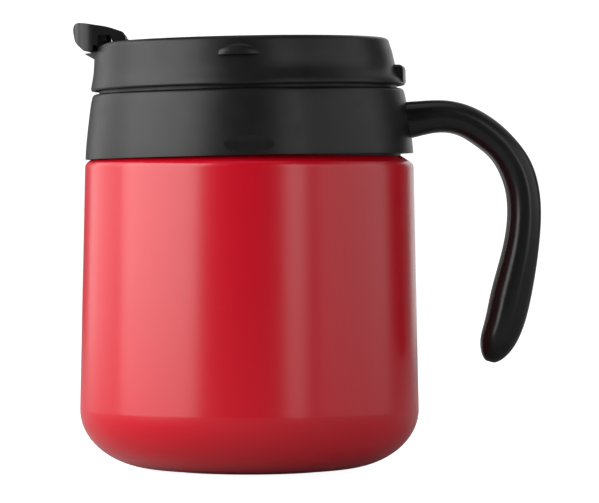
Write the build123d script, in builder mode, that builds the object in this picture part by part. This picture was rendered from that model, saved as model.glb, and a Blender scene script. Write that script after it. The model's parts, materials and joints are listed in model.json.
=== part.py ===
from build123d import *
from math import cos, radians, sin, sqrt
import os

# Insulated travel mug: a double-wall steel cup with a plastic collar, an open-ended
# handle, and a press-in lid with a flip-up drinking flap.
# Origin at the centre of the base pad's underside, +Z up, the handle towards +X and
# the drinking side towards -X. All sizes in millimetres.

# ---------------------------------------------------------------- steel cup
shell_r = 43.0            # outer shell, at the top of the rounded bottom corner
shell_top_r = 41.7        # outer shell, just under the shoulder
shell_wall = 0.8
shoulder_z = 79.4
shoulder_r = 38.5         # where the sloping shoulder starts
shoulder_drop = 3.0       # height of the slope and its rounded edge
corner_height = 15.0      # rounded bottom corner, from the foot upwards
foot_r = 23.9             # where the bottom corner runs flat
foot_z = 0.4              # the pad stands this proud of the steel
arc_weight = 0.5523       # control point share that makes a quarter ellipse
wall_slope = 0.0213       # the wall's widening per millimetre of depth
neck_r = 37.2
neck_top_z = 87.2
neck_bead_z = 84.1
neck_bead = 0.7
base_hole_r = 22.0        # opening under the shell that the base disc closes

liner_r = 35.7
liner_wall = 0.6
liner_floor_z = 6.4
liner_corner = 8.0
liner_flare_z = 83.0      # above this the liner widens to meet the shell's neck
liner_flare_h = 1.3

# ---------------------------------------------------------------- head
# The collar, the handle and the lid share one axis, which leans slightly: the collar
# rests on the shoulder at the drinking side and stands clear of it at the handle.
head_tilt = 1.2
head_z = 79.3
tilt_x = cos(radians(head_tilt))
tilt_z = sin(radians(head_tilt))
head = Plane(origin=(0, 0, head_z), x_dir=(tilt_x, 0, tilt_z), z_dir=(-tilt_z, 0, tilt_x))
head_side = Plane(origin=(0, 0, head_z), x_dir=(tilt_x, 0, tilt_z), z_dir=(0, -1, 0))
head_axis = Axis((0, 0, head_z), (-tilt_z, 0, tilt_x))

collar_r = 41.6           # bottom edge of the collar
collar_top_r = 39.3
collar_h = 16.4
collar_bore_r = 36.9      # where the lid's seal slides
collar_neck_r = 38.2      # around the steel neck
collar_lip_r = 37.55      # snaps under the neck's bead
collar_ledge_h = 9.6      # over the steel rim
collar_rebate_r = 39.6
collar_rebate_h = 1.2

recess_h = 3.1            # thumb recess on the collar
recess_r = 5.0
recess_y = 41.28 - 0.35 + recess_r
handle_width = 17.0       # at the root
spine_depth = 2.7         # thickness of the strip along the handle's back
seam_width = 0.3
seam_depth = 0.5
screw_h = 7.0
screw_y = 4.4
screw_r = 1.1
screw_head_r = 2.1
screw_head_h = 1.2
screw_length = 10.0

lid_gap = 0.8             # shadow gap between collar and lid
lid_bottom_h = collar_h + lid_gap
lid_top_h = 29.2
lid_rim_r = 39.85
lid_wall_r = 37.2         # at the top
lid_shift = -1.3          # the upper wall is off centre, towards the drinking side
scoop_low = (-40.0, 27.2) # the scoop's lowest line, from outside the rim
scoop_high = (-28.5, 29.25)
scoop_r = 140.0
ledge_h = 24.6            # finger ledges on the lid's wall
ledge_x = -2.0
ledge_size = (5.2, 1.5, 2.7)
lug_width = 18.0          # thumb lug over the handle
lug_height = 4.4
lug_root_x = 33.0
lip_tip_x = -41.3         # pouring lip
lip_r = 12.4
lip_height = 1.4
lip_taper = 60
lid_wall = 1.6
lid_roof = 1.8
plug_r = 36.3
plug_wall = 1.4
plug_bottom_h = 10.2
seal_r = 36.75
groove_h = 11.8
groove_width = 2.8
groove_depth = 1.1
dam_x = -26.0             # wall between the drink channel and the foam

# ---------------------------------------------------------------- flap
pin_x = -32.3
pin_h = 30.4
pin_r = 0.95
pin_length = 15.0
knuckle_r = 1.8
hinge_block_y = 4.4       # half width of the lid's hinge block
hinge_play = 0.2
flap_half_width = 9.0
flap_nose_x = -44.1
flap_nose_r = 16.0        # plan curve across the nose
flap_corner_r = 4.5
flap_skin = 1.4
leg_x = -33.2             # outer side of the legs
window_top_h = 31.1       # opening in the hood's sides
window_width = 4.3
notch_half_width = 6.0    # drinking notch in the lid's upper edge
notch_x = -34.6
notch_h = 26.8


def save(piece, name):
    """Label one finished piece and write it to its own file."""
    piece.label = name
    export_step(piece, f"parts/{name}.step")


def shell_outline(inset):
    """Closed half outline of the outer shell, moved inwards by inset."""
    corner_z = foot_z + corner_height
    reach = corner_height * arc_weight
    with BuildSketch() as half:
        with BuildLine():
            top = Line((0, neck_top_z), (neck_r - inset, neck_top_z))
            neck = Line(top @ 1, (neck_r - inset, shoulder_z - inset))
            ledge = Line(neck @ 1, (shoulder_r, shoulder_z - inset))
            shoulder = Bezier(
                ledge @ 1,
                ((shoulder_r + shell_top_r - inset) / 2, shoulder_z - inset - shoulder_drop / 3),
                (shell_top_r - inset, shoulder_z - inset - shoulder_drop / 2),
                (shell_top_r - inset, shoulder_z - shoulder_drop),
            )
            wall = Line(shoulder @ 1, (shell_r - inset, corner_z))
            corner = Bezier(
                wall @ 1,
                (shell_r - inset + wall_slope * reach, corner_z - reach),
                (foot_r + (shell_r - foot_r) * arc_weight, foot_z + inset),
                (foot_r, foot_z + inset),
            )
            bottom = Line(corner @ 1, (0, foot_z + inset))
            Line(bottom @ 1, top @ 0)
        make_face()
    return half.sketch


def liner_outline(inset):
    """Closed half outline of the inner liner, moved inwards by inset."""
    mouth_r = neck_r - shell_wall - inset
    side_r = liner_r - inset
    floor_z = liner_floor_z + inset
    corner_r = liner_corner - inset
    with BuildSketch() as half:
        with BuildLine():
            top = Line((0, neck_top_z), (mouth_r, neck_top_z))
            mouth = Line(top @ 1, (mouth_r, liner_flare_z + liner_flare_h))
            flare = Line(mouth @ 1, (side_r, liner_flare_z))
            side = Line(flare @ 1, (side_r, floor_z + corner_r))
            corner = RadiusArc(side @ 1, (side_r - corner_r, floor_z), corner_r)
            floor = Line(corner @ 1, (0, floor_z))
            Line(floor @ 1, top @ 0)
        make_face()
    return half.sketch


# ================================================================ steel cup
with BuildPart() as outer_shell:
    with BuildSketch(Plane.XZ):
        add(shell_outline(0))
    revolve(axis=Axis.Z)
    with BuildSketch(Plane.XZ):
        with BuildLine():
            bead = CenterArc((neck_r, neck_bead_z), neck_bead, -90, 180)
            Line(bead @ 1, bead @ 0)
        make_face()
    revolve(axis=Axis.Z)
    with BuildSketch(Plane.XZ):
        add(shell_outline(shell_wall))
    revolve(axis=Axis.Z, mode=Mode.SUBTRACT)
    with BuildSketch(Plane.XY):
        Circle(base_hole_r)
    extrude(amount=foot_z + 2 * shell_wall, mode=Mode.SUBTRACT)
save(outer_shell.part, "outer_shell")

with BuildPart() as inner_liner:
    with BuildSketch(Plane.XZ):
        add(liner_outline(0))
    revolve(axis=Axis.Z)
    with BuildSketch(Plane.XZ):
        add(liner_outline(liner_wall))
    revolve(axis=Axis.Z, mode=Mode.SUBTRACT)
save(inner_liner.part, "inner_liner")

shell_floor_z = foot_z + shell_wall
with BuildPart() as shell_base:
    with BuildSketch(Plane.XY.offset(shell_floor_z)):
        Circle(foot_r)
        Circle(1.0, mode=Mode.SUBTRACT)
    extrude(amount=shell_wall)
save(shell_base.part, "shell_base")

with BuildPart() as vacuum_seal:
    with BuildSketch(Plane.XY.offset(shell_floor_z + shell_wall)):
        Circle(3.0)
    extrude(amount=0.9)
    fillet(vacuum_seal.faces().sort_by(Axis.Z)[-1].edges(), 0.5)
save(vacuum_seal.part, "vacuum_seal")

with BuildPart() as getter_disc:
    with BuildSketch(Plane.XY.offset(liner_floor_z - 1.0)):
        Circle(6.0)
    extrude(amount=1.0)
save(getter_disc.part, "getter_disc")

with BuildPart() as heat_foil:
    with BuildSketch(Plane.XY.offset(liner_floor_z + liner_corner)):
        Circle(liner_r + 0.2)
        Circle(liner_r + 0.03, mode=Mode.SUBTRACT)
    extrude(amount=60)
save(heat_foil.part, "heat_foil")

with BuildPart() as base_pad:
    with BuildSketch(Plane.XY):
        Circle(base_hole_r - 0.3)
    extrude(amount=shell_floor_z)
    fillet(base_pad.faces().sort_by(Axis.Z)[0].edges(), 0.3)
    with BuildSketch(Plane.XY):
        Circle(17.4)
        Circle(16.6, mode=Mode.SUBTRACT)
    extrude(amount=0.35, mode=Mode.SUBTRACT)
save(base_pad.part, "base_pad")

# ================================================================ collar
with BuildPart() as neck_gasket:
    with BuildSketch(Plane.XY.offset(shoulder_z)):
        Circle(shoulder_r - 0.1)
        Circle(neck_r + 0.1, mode=Mode.SUBTRACT)
    extrude(amount=5)
    split(bisect_by=head.offset(collar_rebate_h), keep=Keep.BOTTOM)
save(neck_gasket.part, "neck_gasket")

with BuildPart() as rim_gasket:
    with BuildSketch(Plane.XY.offset(neck_top_z)):
        Circle(collar_neck_r - 0.4)
        Circle(neck_r - shell_wall - liner_wall, mode=Mode.SUBTRACT)
    extrude(amount=5)
    split(bisect_by=head.offset(collar_ledge_h), keep=Keep.BOTTOM)
save(rim_gasket.part, "rim_gasket")


with BuildPart() as collar_blank:
    with BuildSketch(head_side):
        with BuildLine():
            side = Spline(
                (collar_r, 0),
                (collar_r - 0.55, 6.0),
                (collar_r - 1.25, 11.3),
                (collar_top_r, collar_h),
                tangents=((-0.04, 1), (-0.35, 1)),
            )
            top = Line(side @ 1, (0, collar_h))
            inner = Line(top @ 1, (0, 0))
            Line(inner @ 1, side @ 0)
        make_face()
    revolve(axis=head_axis)
    fillet(collar_blank.edges().sort_by(head_axis)[-1], 1.0)

with BuildPart() as collar:
    add(collar_blank.part)
    with BuildSketch(head_side):
        Polygon(
            (0, -1),
            (collar_rebate_r, -1),
            (collar_rebate_r, collar_rebate_h),
            (collar_lip_r, collar_rebate_h),
            (collar_lip_r, collar_rebate_h + 1.0),
            (collar_neck_r, collar_rebate_h + 1.8),
            (collar_neck_r, collar_ledge_h),
            (collar_bore_r, collar_ledge_h),
            (collar_bore_r, collar_h - 0.5),
            (collar_bore_r + 0.5, collar_h),
            (0, collar_h),
            align=None,
        )
    revolve(axis=head_axis, mode=Mode.SUBTRACT)

    # Shallow thumb recesses low on the front and back.
    across = Plane(origin=head.origin, x_dir=head.y_dir, z_dir=head.x_dir)
    with BuildSketch(across.offset(ledge_x)):
        with Locations((-recess_y, recess_h), (recess_y, recess_h)):
            Circle(recess_r)
    extrude(amount=12, both=True, mode=Mode.SUBTRACT)

    screw_face = Plane(
        origin=head.from_local_coords((collar_neck_r - 2, 0, screw_h)),
        x_dir=(0, 1, 0),
        z_dir=head.x_dir,
    )
    with BuildSketch(screw_face):
        with Locations((screw_y, 0), (-screw_y, 0)):
            Circle(screw_r + 0.05)
    extrude(amount=8, mode=Mode.SUBTRACT)
    with BuildSketch(screw_face):
        with Locations((screw_y, 0), (-screw_y, 0)):
            Circle(screw_head_r + 0.05)
    extrude(amount=2 + screw_head_h, mode=Mode.SUBTRACT)
save(collar.part, "collar")

# ================================================================ handle
# Each station of the grip: a point on the back, the point facing it on the front,
# both in the head's side plane, and the width across.
handle_stations = [
    ((38.0, 12.7), (38.0, 3.7), 17.0),
    ((43.5, 13.1), (43.5, 4.3), 16.4),
    ((50.0, 13.1), (48.7, 5.1), 16.0),
    ((56.2, 11.5), (53.2, 4.3), 15.6),
    ((62.4, 7.8), (57.3, 1.8), 15.4),
    ((67.5, 2.8), (61.4, -1.8), 15.2),
    ((71.5, -3.5), (64.1, -6.8), 15.0),
    ((73.3, -11.0), (65.3, -11.8), 15.0),
    ((73.3, -20.0), (65.1, -19.3), 15.0),
    ((72.0, -30.0), (63.1, -28.0), 15.0),
    ((70.2, -39.0), (60.7, -36.2), 14.8),
    ((68.1, -45.8), (59.0, -43.3), 14.2),
]
tip_back, tip_front, tip_width = handle_stations[-1]
tip_reach = 9.8           # from the last station to the tip
tip_lean = 6.0            # the tip bends back towards the cup by this angle
tip_shares = (0.45, 0.72, 0.89, 0.975)
grip_roundness = 0.46     # corner radius as a share of the section's thickness

# The tip closes like the end of an ellipsoid, along the last station's own direction.
tip_across = Vector(*tip_back) - Vector(*tip_front)
tip_along = tip_across.normalized().rotate(Axis.Z, -90 - tip_lean)
tip_middle = (Vector(*tip_back) + Vector(*tip_front)) / 2
for share in tip_shares:
    shrink = sqrt(1 - share**2)
    middle = tip_middle + tip_along * tip_reach * share
    half_across = tip_across * shrink / 2
    back_end = middle + half_across
    front_end = middle - half_across
    handle_stations.append(
        ((back_end.X, back_end.Y), (front_end.X, front_end.Y), tip_width * shrink)
    )

with BuildPart() as handle_blank:
    for back_point, front_point, width in handle_stations:
        back_end = head_side.from_local_coords(back_point)
        front_end = head_side.from_local_coords(front_point)
        across = back_end - front_end
        station = Plane(
            origin=(back_end + front_end) / 2,
            x_dir=across.normalized(),
            z_dir=head_side.z_dir.cross(across.normalized()),
        )
        with BuildSketch(station):
            RectangleRounded(across.length, width, grip_roundness * across.length)
    loft()
    add(collar_blank.part, mode=Mode.SUBTRACT)

with BuildLine() as back_line:
    back_curve = Spline(*[station[0] for station in handle_stations[:-2]])


def back_strip(near, far, start, end):
    """Outline of the layer between two depths under the handle's back."""
    stations = 12
    edges = []
    for depth in (near, far):
        points = []
        for i in range(stations + 1):
            place = start + (end - start) * i / stations
            inwards = (back_curve % place).rotate(Axis.Z, -90)
            points.append(back_curve @ place + inwards * depth)
        edges.append(points)
    with BuildSketch() as strip:
        with BuildLine():
            outer = Spline(*edges[0])
            inner = Spline(*edges[1])
            Line(outer @ 0, inner @ 0)
            Line(outer @ 1, inner @ 1)
        make_face()
    return strip.sketch


spine_start = 0.09        # shares of the back's length that the strip covers
spine_end = 0.97

with BuildPart() as seam_groove:
    with BuildSketch(head_side):
        half_seam = seam_width / 2
        add(back_strip(spine_depth - half_seam, spine_depth + half_seam, spine_start, spine_end))
    extrude(amount=handle_width, both=True)
    with BuildSketch(head_side):
        Rectangle(200, 200)
    extrude(amount=handle_width / 2 - seam_depth, both=True, mode=Mode.SUBTRACT)

with BuildPart() as handle_frame:
    add(handle_blank.part)
    with BuildSketch(head_side):
        add(back_strip(-3.0, spine_depth, spine_start, spine_end))
    extrude(amount=handle_width, both=True, mode=Mode.SUBTRACT)
    add(seam_groove.part, mode=Mode.SUBTRACT)
    with BuildSketch(screw_face):
        with Locations((screw_y, 0), (-screw_y, 0)):
            Circle(screw_r + 0.05)
    extrude(amount=2 + screw_head_h + screw_length, mode=Mode.SUBTRACT)
save(handle_frame.part, "handle_frame")

with BuildPart() as handle_spine:
    add(handle_blank.part)
    with BuildSketch(head_side):
        add(back_strip(-3.0, spine_depth, spine_start, spine_end))
    extrude(amount=handle_width, both=True, mode=Mode.INTERSECT)
    add(seam_groove.part, mode=Mode.SUBTRACT)
save(handle_spine.part, "handle_spine")

with BuildPart() as handle_screws:
    with BuildSketch(screw_face.offset(2 + 0.05)):
        with Locations((screw_y, 0), (-screw_y, 0)):
            Circle(screw_head_r)
            RegularPolygon(0.8, 6, mode=Mode.SUBTRACT)
    extrude(amount=screw_head_h - 0.1)
    with BuildSketch(screw_face.offset(2 + screw_head_h - 0.1)):
        with Locations((screw_y, 0), (-screw_y, 0)):
            Circle(screw_r)
    extrude(amount=screw_length)
save(handle_screws.part, "handle_screws")

# ================================================================ lid
# Each level of the lid's wall: height, radius and sideways shift.
lid_levels = [
    (lid_bottom_h, lid_rim_r, 0.0),
    (lid_bottom_h + 1.4, lid_rim_r - 0.25, -0.1),
    (lid_bottom_h + 3.6, lid_rim_r - 1.15, -0.55),
    (lid_bottom_h + 6.2, lid_wall_r + 0.9, lid_shift + 0.45),
    (lid_bottom_h + 9.2, lid_wall_r + 0.45, lid_shift + 0.2),
    (lid_top_h, lid_wall_r, lid_shift),
]

with BuildPart() as lid_hollow:
    for height, radius, shift in lid_levels[:-1]:
        with BuildSketch(head.offset(height)):
            with Locations((shift, 0)):
                Circle(radius - lid_wall)
    with BuildSketch(head.offset(lid_top_h - lid_roof)):
        with Locations((lid_shift, 0)):
            Circle(lid_wall_r - lid_wall - 2.4)
    loft()

with BuildPart() as lid_lug:
    with BuildSketch(head.offset(lid_bottom_h + 0.7)):
        Circle(lid_rim_r + 0.2)
        Rectangle(60, lug_width, align=(Align.MIN, Align.CENTER), mode=Mode.INTERSECT)
        Rectangle(2 * lug_root_x, 2 * lug_width, mode=Mode.SUBTRACT)
    extrude(amount=lug_height)
    fillet(lid_lug.faces().sort_by(head_axis)[-1].edges().sort_by(Axis.X)[1:], 1.4)

with BuildPart() as lid_shell:
    for height, radius, shift in lid_levels:
        with BuildSketch(head.offset(height)):
            with Locations((shift, 0)):
                Circle(radius)
    loft()
    fillet(lid_shell.edges().sort_by(head_axis)[-1], 1.2)
    fillet(lid_shell.edges().sort_by(head_axis)[0], 0.5)

    # Thumb lug over the handle.
    add(lid_lug.part)

    # Pouring lip under the drinking notch, undercut towards the wall.
    with BuildSketch(head.offset(notch_h)):
        with Locations((lip_tip_x + lip_r, 0)):
            Circle(lip_r)
    extrude(amount=-lip_height, taper=lip_taper)

    # Finger ledges on the wall's front and back.
    for side in (-1, 1):
        ledge_spot = head.from_local_coords((ledge_x, side * (lid_wall_r + 0.5), ledge_h))
        bump = scale(Sphere(1.0, mode=Mode.PRIVATE), by=ledge_size, mode=Mode.PRIVATE)
        bump = Pos(*ledge_spot) * bump
        add(split(bump, bisect_by=head.offset(ledge_h), keep=Keep.TOP, mode=Mode.PRIVATE))

    add(lid_hollow.part, mode=Mode.SUBTRACT)

    # Shallow dish in the top, and the scoop that slopes down to the drinking side.
    with BuildSketch(head.offset(lid_top_h)):
        with Locations((lid_shift + 1.5, 0)):
            Circle(27.0)
    extrude(amount=-0.8, taper=55, mode=Mode.SUBTRACT)
    scoop_foot = head_side.from_local_coords(scoop_low)
    scoop_path = head_side.from_local_coords(scoop_high) - scoop_foot
    scoop_up = scoop_path.normalized().rotate(Axis.Y, -90)
    with BuildSketch(Plane(origin=scoop_foot + scoop_up * scoop_r, z_dir=scoop_path.normalized())):
        Circle(scoop_r)
    extrude(amount=scoop_path.length, mode=Mode.SUBTRACT)

    # Pocket for the flap's legs, then the hinge block between them with its ramp.
    with BuildSketch(head_side):
        with Locations((pin_x, pin_h)):
            Circle(knuckle_r + 0.35)
    extrude(amount=flap_half_width + 0.4, both=True, mode=Mode.SUBTRACT)
    with BuildSketch(head_side):
        with Locations((pin_x, pin_h)):
            Circle(knuckle_r - 0.1)
        with BuildLine():
            Polyline(
                (pin_x - 1.5, lid_top_h - 1.7),
                (pin_x - 1.5, pin_h - 1.0),
                (pin_x + 1.5, pin_h - 0.1),
                (pin_x + 2.4, pin_h - 0.3),
                (pin_x + 3.4, lid_top_h - 0.2),
                (pin_x + 3.4, lid_top_h - 1.7),
                close=True,
            )
        make_face()
    extrude(amount=hinge_block_y, both=True)
    with BuildSketch(head_side):
        with Locations((pin_x, pin_h)):
            Circle(pin_r)
    extrude(amount=hinge_block_y, both=True, mode=Mode.SUBTRACT)

    # Drinking notch and vent.
    with BuildSketch(head.offset(notch_h)):
        with Locations((notch_x, 0)):
            RectangleRounded(12.0, 2 * notch_half_width, 1.5, align=(Align.MAX, Align.CENTER))
    extrude(amount=4.0, mode=Mode.SUBTRACT)
    with BuildSketch(head.offset(lid_top_h - lid_roof)):
        with Locations((pin_x + 6.0, 0)):
            Circle(0.8)
    extrude(amount=4.0, mode=Mode.SUBTRACT)
save(lid_shell.part, "lid_shell")

with BuildPart() as lid_base:
    with BuildSketch(head_side):
        Polygon(
            (0, plug_bottom_h),
            (plug_r - 0.6, plug_bottom_h),
            (plug_r, plug_bottom_h + 0.6),
            (plug_r, collar_h + 0.05),
            (plug_r + 1.5, collar_h + 0.05),
            (plug_r + 1.5, lid_bottom_h + 1.6),
            (plug_r - plug_wall, lid_bottom_h + 1.6),
            (plug_r - plug_wall, plug_bottom_h + plug_wall),
            (0, plug_bottom_h + plug_wall),
            align=None,
        )
    revolve(axis=head_axis)
    with BuildSketch(head_side):
        with Locations((plug_r - groove_depth, groove_h)):
            Rectangle(5, groove_width, align=(Align.MIN, Align.MIN))
    revolve(axis=head_axis, mode=Mode.SUBTRACT)
    with BuildSketch(head_side):
        with Locations((plug_r, (groove_h + groove_width / 2))):
            Rectangle(2 * groove_depth + 2.8, groove_width + 2.0)
        with Locations((plug_r, (groove_h + groove_width / 2))):
            Rectangle(2 * groove_depth, groove_width, mode=Mode.SUBTRACT)
        with Locations((plug_r, 0)):
            Rectangle(20, 100, align=(Align.MIN, Align.CENTER), mode=Mode.SUBTRACT)
    revolve(axis=head_axis)
    with BuildSketch(head.offset(plug_bottom_h + plug_wall)):
        Circle(plug_r - plug_wall)
        with Locations((dam_x, 0)):
            Rectangle(1.2, 100, mode=Mode.INTERSECT)
    extrude(amount=lid_top_h - lid_roof - 0.5 - plug_bottom_h - plug_wall)
    inlet_r = 30.0
    inlet_angles = (-26, -13, 0, 13, 26)
    with BuildSketch(head.offset(plug_bottom_h)):
        for angle in inlet_angles:
            with Locations(Vector(-inlet_r, 0).rotate(Axis.Z, angle)):
                Circle(1.9)
    extrude(amount=plug_wall, mode=Mode.SUBTRACT)
save(lid_base.part, "lid_base")

foam_r = plug_r - plug_wall - 1.6
with BuildPart() as lid_foam:
    with BuildSketch(head.offset(plug_bottom_h + plug_wall + 0.1)):
        Circle(foam_r)
        with Locations((dam_x + 1.2, 0)):
            Rectangle(2 * foam_r + 5, 2 * foam_r, align=(Align.MIN, Align.CENTER), mode=Mode.INTERSECT)
    extrude(amount=lid_top_h - lid_roof - 1.0 - plug_bottom_h - plug_wall)
save(lid_foam.part, "lid_foam")

with BuildPart() as lid_seal:
    with BuildSketch(head_side):
        seal_inner = plug_r - groove_depth + 0.05
        with Locations((seal_inner, groove_h + 0.15)):
            Rectangle(plug_r - seal_inner, groove_width - 0.3, align=(Align.MIN, Align.MIN))
        for lip_h in (groove_h + 0.75, groove_h + 2.05):
            with Locations((seal_inner, lip_h)):
                SlotOverall(2 * (seal_r - seal_inner), 0.7)
        with Locations((seal_inner, 0)):
            Rectangle(10, 100, align=(Align.MAX, Align.CENTER), mode=Mode.SUBTRACT)
    revolve(axis=head_axis)
save(lid_seal.part, "lid_seal")

with BuildPart() as flap_pin:
    with BuildSketch(head_side):
        with Locations((pin_x, pin_h)):
            Circle(pin_r)
    extrude(amount=pin_length / 2, both=True)
    chamfer(flap_pin.edges().filter_by(GeomType.CIRCLE), 0.2)
save(flap_pin.part, "flap_pin")

# ================================================================ flap
def flap_plan(inset):
    """The flap seen from above, moved inwards by inset."""
    half_width = flap_half_width - inset
    with BuildSketch() as plan:
        with Locations((-20, 0)):
            Rectangle(30, 2 * half_width, align=(Align.MAX, Align.CENTER))
        with Locations((flap_nose_x + flap_nose_r, 0)):
            Circle(flap_nose_r - inset, mode=Mode.INTERSECT)
        fillet(plan.vertices().sort_by(Axis.X)[:2], flap_corner_r - inset)
    return plan.sketch


with BuildPart() as flap_hollow:
    # The side outline less its skin, open at the bottom.
    with BuildSketch(head_side):
        with BuildLine():
            roof = Spline(
                (leg_x, 32.4 - flap_skin),
                (-38.0, 33.8 - flap_skin),
                (-41.7, 34.35 - flap_skin),
                tangents=((-0.9, 0.35), (-1, 0.08)),
            )
            front_wall = Spline(
                roof @ 1,
                (-42.5, 32.0),
                (-42.0, 29.9),
                (-40.8, 28.6),
                tangents=((-1, 0), (1, -0.1)),
            )
            Polyline(front_wall @ 1, (-38.6, 28.6), (-38.6, 20), (leg_x, 20), roof @ 0)
        make_face()
    extrude(amount=flap_half_width - flap_skin, both=True)
    with BuildSketch(head.offset(20)):
        add(flap_plan(flap_skin))
    extrude(amount=20, mode=Mode.INTERSECT)

with BuildPart() as flap:
    # Side outline, from the knuckle over the top and down the overhanging front.
    with BuildSketch(head_side):
        with BuildLine():
            hinge_arc = CenterArc((pin_x, pin_h), knuckle_r, -90, 170)
            crown = Spline(
                hinge_arc @ 1,
                (-35.2, 33.25),
                (-38.5, 33.85),
                (-42.3, 34.4),
                tangents=((-0.93, 0.36), (-1, 0.05)),
            )
            brow = Spline(
                crown @ 1,
                (-43.95, 33.2),
                (-43.75, 31.2),
                (-43.05, 29.2),
                (-41.6, 27.7),
                (-39.0, 27.1),
                tangents=((-1, 0.05), (1, -0.35)),
            )
            Polyline(brow @ 1, (-38.7, 28.6), (pin_x, pin_h - knuckle_r))
        make_face()
    extrude(amount=flap_half_width, both=True)
    with BuildSketch(head.offset(20)):
        add(flap_plan(0))
    extrude(amount=20, mode=Mode.INTERSECT)
    add(flap_hollow.part, mode=Mode.SUBTRACT)

    # The hood's sides stop short, between the front wall and the legs.
    with BuildSketch(head_side):
        with Locations((leg_x, window_top_h)):
            Rectangle(window_width, 12, align=(Align.MAX, Align.MAX))
        with Locations((pin_x, pin_h - 0.6)):
            Rectangle(4, 12, align=(Align.MAX, Align.MAX))
        with Locations((pin_x, pin_h)):
            Circle(knuckle_r, mode=Mode.SUBTRACT)
    extrude(amount=flap_half_width + 1, both=True, mode=Mode.SUBTRACT)

    # Room for the hinge block between the legs, and the legs' blind pin holes.
    with BuildSketch(head_side):
        with Locations((pin_x - knuckle_r - hinge_play, 20)):
            Rectangle(10, 20, align=(Align.MIN, Align.MIN))
    extrude(amount=hinge_block_y + hinge_play, both=True, mode=Mode.SUBTRACT)
    with BuildSketch(head_side):
        with Locations((pin_x, pin_h)):
            Circle(pin_r + 0.05)
    extrude(amount=pin_length / 2 + hinge_play, both=True, mode=Mode.SUBTRACT)
save(flap.part, "flap")

# The seal plugs the drinking notch and fills the hood above it up to its roof.
with BuildPart() as flap_seal:
    with BuildSketch(head.offset(notch_h + 0.15)):
        with Locations((notch_x - 0.25, 0)):
            RectangleRounded(3.8, 2 * notch_half_width - 0.5, 1.2, align=(Align.MAX, Align.CENTER))
    extrude(amount=8.0)
    with BuildSketch(head.offset(notch_h + 3.0)):
        with Locations((notch_x - 3.0, 0)):
            RectangleRounded(6.0, 2 * notch_half_width + 1.4, 1.5)
    extrude(amount=5.0)
    add(flap_hollow.part, mode=Mode.INTERSECT)
save(flap_seal.part, "flap_seal")
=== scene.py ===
import json
import math

import bpy
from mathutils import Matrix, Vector

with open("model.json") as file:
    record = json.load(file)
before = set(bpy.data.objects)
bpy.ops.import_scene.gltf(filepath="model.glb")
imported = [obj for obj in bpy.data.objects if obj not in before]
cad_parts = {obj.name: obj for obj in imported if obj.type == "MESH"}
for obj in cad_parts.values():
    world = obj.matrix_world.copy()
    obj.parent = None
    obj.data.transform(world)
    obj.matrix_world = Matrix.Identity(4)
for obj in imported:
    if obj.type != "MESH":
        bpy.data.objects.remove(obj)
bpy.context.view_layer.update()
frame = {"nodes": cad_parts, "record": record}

MM = 0.001
WHITE = (1, 1, 1, 1)
EVEN = (1, 1, 1)          # noise that is as fine in every direction

# Softboxes round the mug: name, azimuth in degrees (0 in front, negative to the left),
# height and distance of the middle, width and height of the panel in metres, radiance.
SOFTBOXES = [
    ("key_front", -66, 0.35, 0.95, 1.25, 1.1, 4.6),
    ("key_back", -122, 0.35, 0.95, 0.8, 1.1, 1.6),
    ("stripe", 31, 0.25, 1.1, 0.28, 1.0, 2.7),
    ("right", 78, 0.30, 1.2, 1.5, 1.0, 1.15),
    ("rear_right", 160, 0.30, 1.0, 0.5, 1.0, 1.0),
    ("high_right", 120, 1.1, 1.0, 1.1, 0.8, 0.55),
    ("top", 0, 1.2, 0.05, 0.8, 0.8, 0.8),
]
AIM_HEIGHT = 0.06         # the softboxes point at the mug's middle
WORLD_STRENGTH = 0.04

# Backdrop: a floor that bends up into a back wall. Metres.
FLOOR_FRONT = -2.5
FLOOR_REACH = 1.2
BEND_RADIUS = 0.5
BEND_STEPS = 12
WALL_TOP = 2.0
BACKDROP_HALF_WIDTH = 4.0
FLOOR_GAP = 0.0002        # keeps the floor clear of the base pad
FLOOR_GLOW = 0.95         # seen by the camera only

LENS_MM = 222.4
SENSOR_MM = 36.0
CAMERA_PLACE = (0, -0.94, 0.069)
CAMERA_YAW = 0.773        # degrees, to the right
CAMERA_PITCH = -0.844     # degrees, down

scene = bpy.context.scene
nodes = frame["nodes"]


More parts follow.
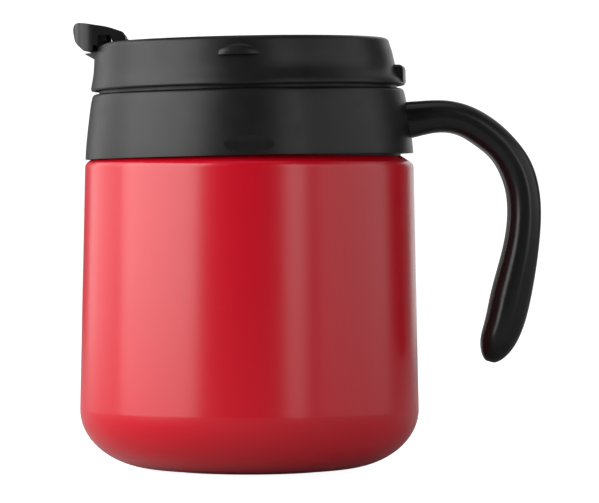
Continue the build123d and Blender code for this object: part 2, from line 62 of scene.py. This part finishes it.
# ---------------------------------------------------------------- shader helpers
class Shader:
    """A node material with a Principled shader, built up one node at a time."""

    def __init__(self, name):
        self.material = bpy.data.materials.new(name)
        self.material.use_nodes = True
        self.tree = self.material.node_tree
        self.bsdf = self.tree.nodes["Principled BSDF"]
        self.coords = self.tree.nodes.new("ShaderNodeTexCoord").outputs["Object"]

    def set(self, **sockets):
        """Uniform values, on the shader's own sockets."""
        for name, value in sockets.items():
            self.bsdf.inputs[name.replace("_", " ")].default_value = value

    def link(self, output, socket):
        """Joins a node's output to one of the shader's sockets."""
        self.tree.links.new(output, self.bsdf.inputs[socket])

    def node(self, kind, **inputs):
        """A new node whose inputs are linked or set as given."""
        made = self.tree.nodes.new(kind)
        for name, value in inputs.items():
            socket = made.inputs[name.replace("_", " ")]
            if isinstance(value, bpy.types.NodeSocket):
                self.tree.links.new(value, socket)
            else:
                socket.default_value = value
        return made

    def noise(self, size_mm, detail=3.0, roughness=0.5, stretch=EVEN):
        """Noise whose features are about size_mm across."""
        mapping = self.node("ShaderNodeMapping", Vector=self.coords, Scale=stretch)
        return self.node(
            "ShaderNodeTexNoise",
            Vector=mapping.outputs["Vector"],
            Scale=1 / (size_mm * MM),
            Detail=detail,
            Roughness=roughness,
        ).outputs["Fac"]

    def remap(self, value, low, high, from_low=0.3, from_high=0.7):
        """Low to high as value goes from from_low to from_high, which noise mostly spans."""
        made = self.node("ShaderNodeMapRange", Value=value)
        made.inputs["From Min"].default_value = from_low
        made.inputs["From Max"].default_value = from_high
        made.inputs["To Min"].default_value = low
        made.inputs["To Max"].default_value = high
        return made.outputs["Result"]

    def blend_colours(self, fac, colour_a, colour_b):
        """Colour a where fac is 0, colour b where it is 1."""
        made = self.tree.nodes.new("ShaderNodeMix")
        made.data_type = "RGBA"
        self.tree.links.new(fac, made.inputs["Factor"])
        made.inputs["A"].default_value = (*colour_a, 1)
        made.inputs["B"].default_value = (*colour_b, 1)
        return made.outputs["Result"]

    def bump(self, layers):
        """Stacks (height value, depth in mm) layers into the shader's normal."""
        normal = None
        for height, depth_mm in layers:
            made = self.node("ShaderNodeBump", Height=height)
            made.inputs["Strength"].default_value = 1.0
            made.inputs["Distance"].default_value = depth_mm * MM
            if normal is not None:
                self.tree.links.new(normal, made.inputs["Normal"])
            normal = made.outputs["Normal"]
        self.link(normal, "Normal")


def red_paint():
    """Satin baked paint on drawn steel."""
    s = Shader("red_paint")
    cloud = s.remap(s.noise(35, detail=2), 0, 1)
    deep_red, light_red = (0.53, 0.0012, 0.012), (0.55, 0.0015, 0.014)
    s.link(s.blend_colours(cloud, deep_red, light_red), "Base Color")
    s.link(s.remap(s.noise(12, detail=1), 0.24, 0.27, 0, 1), "Roughness")
    s.set(Specular_IOR_Level=0.5, Metallic=0.0, Coat_Weight=0.05, Coat_Roughness=0.15)
    s.bump([(s.noise(1.8, detail=1), 0.004), (s.noise(0.3, detail=0), 0.0004)])
    return s.material


def satin_plastic(name, level, rough_low, rough_high, grain_mm=0.25, grain_depth=0.004):
    """Moulded black plastic with a fine spark-eroded grain."""
    s = Shader(name)
    shade = s.remap(s.noise(9, detail=4), 0, 1)
    s.link(s.blend_colours(shade, (level, level, level * 1.02), (level * 1.25,) * 3), "Base Color")
    s.link(s.remap(s.noise(4), rough_low, rough_high), "Roughness")
    s.set(Specular_IOR_Level=0.3)
    s.bump([(s.noise(grain_mm, detail=2), grain_depth), (s.noise(14, detail=1), 0.02)])
    return s.material


def brushed_steel(name, level=0.62, stretch=(1, 1, 18)):
    """Bare metal, brushed across the direction of the largest stretch."""
    s = Shader(name)
    streak = s.noise(3.0, detail=4, stretch=stretch)
    shade = s.remap(streak, 0, 1)
    s.link(s.blend_colours(shade, (level * 0.9,) * 3, (level * 1.06,) * 3), "Base Color")
    s.link(s.remap(streak, 0.30, 0.46), "Roughness")
    s.set(Metallic=1.0)
    s.bump([(s.noise(0.35, detail=2, stretch=stretch), 0.003)])
    return s.material


def silicone(name, colour, translucent=0.0):
    """Moulded rubber or silicone with a fine matt skin."""
    s = Shader(name)
    shade = s.remap(s.noise(3), 0, 1)
    s.link(s.blend_colours(shade, tuple(c * 0.93 for c in colour), colour), "Base Color")
    s.link(s.remap(s.noise(1.5), 0.45, 0.6), "Roughness")
    s.set(Subsurface_Weight=translucent, Subsurface_Scale=0.002)
    s.bump([(s.noise(0.3), 0.004)])
    return s.material


def foam():
    """Pale insulating foam with cells of about a millimetre."""
    s = Shader("foam")
    voronoi = s.node("ShaderNodeTexVoronoi", Vector=s.coords, Scale=1 / (1.2 * MM))
    cells = voronoi.outputs["Distance"]
    s.link(s.blend_colours(cells, (0.80, 0.79, 0.74), (0.9, 0.89, 0.85)), "Base Color")
    s.link(s.remap(cells, 0.7, 0.9, 0, 1), "Roughness")
    s.bump([(cells, 0.1)])
    return s.material


MATERIALS = {
    "red_paint": red_paint(),
    "steel": brushed_steel("steel"),
    "solder": brushed_steel("solder", 0.45, EVEN),
    "foil": brushed_steel("foil", 0.78, (1, 1, 3)),
    "pad_rubber": silicone("pad_rubber", (0.03, 0.03, 0.03)),
    "dark_silicone": silicone("dark_silicone", (0.012, 0.012, 0.012)),
    "clear_silicone": silicone("clear_silicone", (0.75, 0.74, 0.72), 0.3),
    "satin_plastic": satin_plastic("satin_plastic", 0.0055, 0.34, 0.40),
    "inner_plastic": satin_plastic("inner_plastic", 0.004, 0.38, 0.46),
    "handle_plastic": satin_plastic("handle_plastic", 0.008, 0.20, 0.26, 0.4, 0.002),
    "grip_plastic": satin_plastic("grip_plastic", 0.008, 0.28, 0.33),
    "flap_plastic": satin_plastic("flap_plastic", 0.0055, 0.32, 0.38),
    "foam": foam(),
    "screw_steel": brushed_steel("screw_steel", 0.6, (6, 1, 1)),
    "pin_steel": brushed_steel("pin_steel", 0.6, (1, 6, 1)),
}

for part in frame["record"]["subparts"]:
    slots = nodes[part["node"]].data.materials
    slots.clear()
    slots.append(MATERIALS[part["material_slot"]])


# ---------------------------------------------------------------- studio
def softbox(name, azimuth, height, distance, width, tall, radiance):
    """A panel that faces the mug and doesn't show in the picture itself."""
    light = bpy.data.lights.new(name, "AREA")
    light.shape = "RECTANGLE"
    light.size = width
    light.size_y = tall
    light.energy = radiance * math.pi * width * tall
    holder = bpy.data.objects.new(name, light)
    scene.collection.objects.link(holder)
    angle = math.radians(azimuth)
    holder.location = (math.sin(angle) * distance, -math.cos(angle) * distance, height)
    aim = Vector((0, 0, AIM_HEIGHT)) - holder.location
    holder.rotation_euler = aim.to_track_quat("-Z", "Y").to_euler()
    holder.visible_camera = False


def backdrop():
    """Pale floor that sweeps up into a back wall."""
    profile = [(FLOOR_FRONT, 0.0), (FLOOR_REACH, 0.0)]
    for i in range(1, BEND_STEPS + 1):
        turn = math.radians(90 * i / BEND_STEPS)
        rise = BEND_RADIUS * (1 - math.cos(turn))
        profile.append((FLOOR_REACH + BEND_RADIUS * math.sin(turn), rise))
    profile.append((FLOOR_REACH + BEND_RADIUS, WALL_TOP))
    points = []
    for y, z in profile:
        for x in (-BACKDROP_HALF_WIDTH, BACKDROP_HALF_WIDTH):
            points.append((x, y, z - FLOOR_GAP))
    faces = [(2 * i, 2 * i + 1, 2 * i + 3, 2 * i + 2) for i in range(len(profile) - 1)]
    mesh = bpy.data.meshes.new("backdrop")
    mesh.from_pydata(points, [], faces)
    mesh.polygons.foreach_set("use_smooth", [True] * len(faces))
    sweep = bpy.data.objects.new("backdrop", mesh)
    scene.collection.objects.link(sweep)
    s = Shader("backdrop")
    shade = s.remap(s.noise(400, detail=2), 0, 1)
    s.link(s.blend_colours(shade, (0.42, 0.42, 0.42), (0.45, 0.45, 0.45)), "Base Color")
    s.set(Roughness=0.9, Emission_Color=WHITE)
    seen = s.node("ShaderNodeLightPath").outputs["Is Camera Ray"]
    s.link(s.remap(seen, 0.0, FLOOR_GLOW, 0, 1), "Emission Strength")
    mesh.materials.append(s.material)


def studio():
    """Dim surroundings, the softboxes and the backdrop."""
    world = bpy.data.worlds.new("studio")
    scene.world = world
    world.use_nodes = True
    background = world.node_tree.nodes["Background"]
    background.inputs["Color"].default_value = WHITE
    background.inputs["Strength"].default_value = WORLD_STRENGTH
    for box in SOFTBOXES:
        softbox(*box)
    backdrop()


def camera():
    """Long lens in front of the mug, a little above its middle."""
    data = bpy.data.cameras.new("camera")
    data.sensor_width = SENSOR_MM
    data.lens = LENS_MM
    data.clip_start = 0.01
    data.clip_end = 50
    holder = bpy.data.objects.new("camera", data)
    scene.collection.objects.link(holder)
    holder.location = CAMERA_PLACE
    yaw = math.radians(CAMERA_YAW)
    pitch = math.radians(CAMERA_PITCH)
    forward = math.cos(pitch)
    look = Vector((math.sin(yaw) * forward, math.cos(yaw) * forward, math.sin(pitch)))
    holder.rotation_euler = look.to_track_quat("-Z", "Y").to_euler()
    scene.camera = holder


studio()
camera()
scene.view_settings.view_transform = "Standard"
